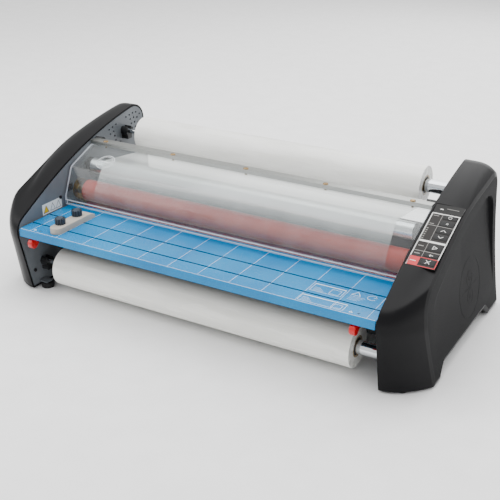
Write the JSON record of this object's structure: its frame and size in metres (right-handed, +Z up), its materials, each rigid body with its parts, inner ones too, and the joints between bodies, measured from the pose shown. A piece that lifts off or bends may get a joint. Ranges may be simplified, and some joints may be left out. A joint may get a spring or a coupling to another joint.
{
  "type": "roll laminator",
  "caption": "Desktop two-sided roll laminator: two film supply rolls, heated silicone nip and pull rollers, blue feed table with sliding guide, hinged clear shield and key panel.",
  "frame": {"origin": "middle of the footprint, on the surface the feet stand on", "axes": "+X to the right along the rollers, +Y from the feed side to the back, +Z up"},
  "size_m": [0.901, 0.4466, 0.2983],
  "materials": {
    "moulded_cover": "fine moulded texture",
    "frame_steel": "satin grey powder coat",
    "zinc_steel": "zinc plated",
    "anodised_aluminium": "clear anodised",
    "dark_sheet": "satin dark grey",
    "table_blue": "blue powder coat with printed grid",
    "guide_grey": "satin",
    "knob_slate": "satin",
    "lever_red": "gloss",
    "film": "wound film, soft sheen",
    "film_sheet": "clear film",
    "cardboard": "spiral wound card",
    "black_plastic": "satin",
    "chrome": "polished",
    "silicone": "ground silicone",
    "dark_rubber": "ground rubber",
    "brass": "machined",
    "acetal": "moulded",
    "clear_acrylic": "clear, polished edges",
    "foot_rubber": "matt",
    "ceramic": "glazed",
    "board_green": "solder mask",
    "panel_black": "printed overlay",
    "key_black": "printed key",
    "key_red": "printed key"
  },
  "bodies": {
    "machine": {"left_side_frame": "frame_steel", "right_side_frame": "frame_steel", "base_pan": "dark_sheet", "tie_rods": "zinc_steel", "cross_member": "frame_steel", "rear_panel": "dark_sheet", "left_side_cover": "moulded_cover", "right_side_cover": "moulded_cover", "cover_screws": "black_plastic", "roller_bearings": "brass", "mandrel_saddles": "black_plastic", "drive_motor": "dark_sheet", "control_electronics": "board_green", "control_panel": "panel_black", "power_inlet": "black_plastic", "rubber_feet": "foot_rubber", "upper_film_web": "film_sheet", "lower_film_web": "film_sheet", "heater_rods": "ceramic", "shield_catch": "black_plastic"},
    "switch_rocker": {"power_switch": "black_plastic"},
    "shield": {"shield_bar": "anodised_aluminium", "shield_bar_screws": "brass", "safety_shield": "clear_acrylic", "shield_pivots": "black_plastic"},
    "table": {"feed_table": "table_blue"},
    "guide": {"paper_guide": "guide_grey", "guide_slot_nuts": "zinc_steel"},
    "front_knob": {"guide_knob_front": "knob_slate"},
    "rear_knob": {"guide_knob_rear": "knob_slate"},
    "left_latch": {"latch_lever_left": "lever_red"},
    "right_latch": {"latch_lever_right": "lever_red"},
    "upper_supply": {"upper_film_roll": "film", "upper_film_core": "cardboard", "upper_core_chucks": "black_plastic", "upper_mandrel": "chrome"},
    "lower_supply": {"lower_film_roll": "film", "lower_film_core": "cardboard", "lower_core_chucks": "black_plastic", "lower_mandrel": "chrome"},
    "upper_idler_roller": {"upper_idler": "anodised_aluminium"},
    "lower_idler_roller": {"lower_idler": "anodised_aluminium"},
    "upper_main_roller": {"upper_roller_sleeve": "silicone", "upper_roller_tube": "zinc_steel", "upper_roller_gear": "acetal"},
    "lower_main_roller": {"lower_roller_sleeve": "silicone", "lower_roller_tube": "zinc_steel", "lower_roller_gear": "acetal"},
    "carrier_gear": {"idler_gear": "acetal"},
    "upper_pull": {"upper_pull_roller": "dark_rubber"},
    "lower_pull": {"lower_pull_roller": "dark_rubber"},
    "pinion": {"motor_pinion": "zinc_steel"},
    "key_standby_cap": {"key_standby": "key_black"},
    "key_ready_cap": {"key_ready": "key_black"},
    "key_faster_cap": {"key_faster": "key_black"},
    "key_slower_cap": {"key_slower": "key_black"},
    "key_run_cap": {"key_run": "key_black"},
    "key_reverse_cap": {"key_reverse": "key_black"},
    "key_stop_cap": {"key_stop": "key_red"}
  },
  "joints": [
    {"name": "shield_hinge", "type": "hinge", "parent": "machine", "child": "shield", "pos_m": [0, 0.03, 0.256], "axis": [-1, 0, 0], "range_deg": [0, 115]},
    {"name": "table_slide", "type": "slide", "parent": "machine", "child": "table", "axis": [0, -1, 0], "range_m": [0, 0.16]},
    {"name": "guide_slide", "type": "slide", "parent": "table", "child": "guide", "axis": [1, 0, 0], "range_m": [-0.04, 0.6]},
    {"name": "front_knob_turn", "type": "hinge", "parent": "guide", "child": "front_knob", "pos_m": [-0.298, -0.183, 0.161], "axis": [0, 0, 1], "range_deg": [0, 270]},
    {"name": "rear_knob_turn", "type": "hinge", "parent": "guide", "child": "rear_knob", "pos_m": [-0.298, -0.134, 0.161], "axis": [0, 0, 1], "range_deg": [0, 270]},
    {"name": "left_latch_press", "type": "hinge", "parent": "table", "child": "left_latch", "pos_m": [-0.345, -0.199, 0.123], "axis": [1, 0, 0], "range_deg": [0, 22], "stiffness_Nm_per_rad": 0.08, "springref_deg": -20.05},
    {"name": "right_latch_press", "type": "hinge", "parent": "table", "child": "right_latch", "pos_m": [0.332, -0.199, 0.123], "axis": [1, 0, 0], "range_deg": [0, 22], "stiffness_Nm_per_rad": 0.08, "springref_deg": -20.05},
    {"name": "upper_roller_spin", "type": "hinge", "parent": "machine", "child": "upper_main_roller", "pos_m": [0, -0.033, 0.1659], "axis": [1, 0, 0], "continuous": true},
    {"name": "lower_roller_spin", "type": "hinge", "parent": "machine", "child": "lower_main_roller", "pos_m": [0, -0.033, 0.1209], "axis": [1, 0, 0], "continuous": true},
    {"name": "carrier_gear_spin", "type": "hinge", "parent": "machine", "child": "carrier_gear", "pos_m": [0, 0.03, 0.1209], "axis": [1, 0, 0], "continuous": true},
    {"name": "lower_pull_spin", "type": "hinge", "parent": "machine", "child": "lower_pull", "pos_m": [0, 0.093, 0.1209], "axis": [1, 0, 0], "continuous": true},
    {"name": "upper_pull_spin", "type": "hinge", "parent": "machine", "child": "upper_pull", "pos_m": [0, 0.093, 0.1659], "axis": [1, 0, 0], "continuous": true},
    {"name": "motor_spin", "type": "hinge", "parent": "machine", "child": "pinion", "pos_m": [0, 0.03, 0.06915], "axis": [1, 0, 0], "continuous": true},
    {"name": "upper_idler_spin", "type": "hinge", "parent": "machine", "child": "upper_idler_roller", "pos_m": [0, -0.008, 0.2135], "axis": [1, 0, 0], "continuous": true},
    {"name": "lower_idler_spin", "type": "hinge", "parent": "machine", "child": "lower_idler_roller", "pos_m": [0, -0.084, 0.07], "axis": [1, 0, 0], "continuous": true},
    {"name": "upper_supply_spin", "type": "hinge", "parent": "machine", "child": "upper_supply", "pos_m": [0, 0.124, 0.251], "axis": [1, 0, 0], "continuous": true},
    {"name": "lower_supply_spin", "type": "hinge", "parent": "machine", "child": "lower_supply", "pos_m": [0, -0.158, 0.052], "axis": [1, 0, 0], "continuous": true},
    {"name": "power_switch_rock", "type": "hinge", "parent": "machine", "child": "switch_rocker", "pos_m": [0, 0.201, 0.076], "axis": [1, 0, 0], "range_deg": [0, 10]},
    {"name": "key_standby_press", "type": "slide", "parent": "machine", "child": "key_standby_cap", "axis": [0, 0.3835, -0.9235], "range_m": [0, 0.0008], "stiffness_N_per_m": 400, "springref_m": -0.0006},
    {"name": "key_ready_press", "type": "slide", "parent": "machine", "child": "key_ready_cap", "axis": [0, 0.3835, -0.9235], "range_m": [0, 0.0008], "stiffness_N_per_m": 400, "springref_m": -0.0006},
    {"name": "key_faster_press", "type": "slide", "parent": "machine", "child": "key_faster_cap", "axis": [0, 0.3835, -0.9235], "range_m": [0, 0.0008], "stiffness_N_per_m": 400, "springref_m": -0.0006},
    {"name": "key_slower_press", "type": "slide", "parent": "machine", "child": "key_slower_cap", "axis": [0, 0.3835, -0.9235], "range_m": [0, 0.0008], "stiffness_N_per_m": 400, "springref_m": -0.0006},
    {"name": "key_run_press", "type": "slide", "parent": "machine", "child": "key_run_cap", "axis": [0, 0.3835, -0.9235], "range_m": [0, 0.0008], "stiffness_N_per_m": 400, "springref_m": -0.0006},
    {"name": "key_reverse_press", "type": "slide", "parent": "machine", "child": "key_reverse_cap", "axis": [0, 0.3835, -0.9235], "range_m": [0, 0.0008], "stiffness_N_per_m": 400, "springref_m": -0.0006},
    {"name": "key_stop_press", "type": "slide", "parent": "machine", "child": "key_stop_cap", "axis": [0, 0.3835, -0.9235], "range_m": [0, 0.0008], "stiffness_N_per_m": 400, "springref_m": -0.0006}
  ],
  "couplings": [
    {"joint": "lower_roller_spin", "follows": "upper_roller_spin", "ratio": -1},
    {"joint": "carrier_gear_spin", "follows": "upper_roller_spin", "ratio": 0.55556},
    {"joint": "lower_pull_spin", "follows": "upper_roller_spin", "ratio": -1},
    {"joint": "upper_pull_spin", "follows": "upper_roller_spin", "ratio": 1},
    {"joint": "motor_spin", "follows": "upper_roller_spin", "ratio": -2},
    {"joint": "upper_idler_spin", "follows": "upper_roller_spin", "ratio": 1.4194},
    {"joint": "lower_idler_spin", "follows": "upper_roller_spin", "ratio": 1.8333},
    {"joint": "upper_supply_spin", "follows": "upper_roller_spin", "ratio": -0.61111},
    {"joint": "lower_supply_spin", "follows": "upper_roller_spin", "ratio": 0.57895}
  ]
}
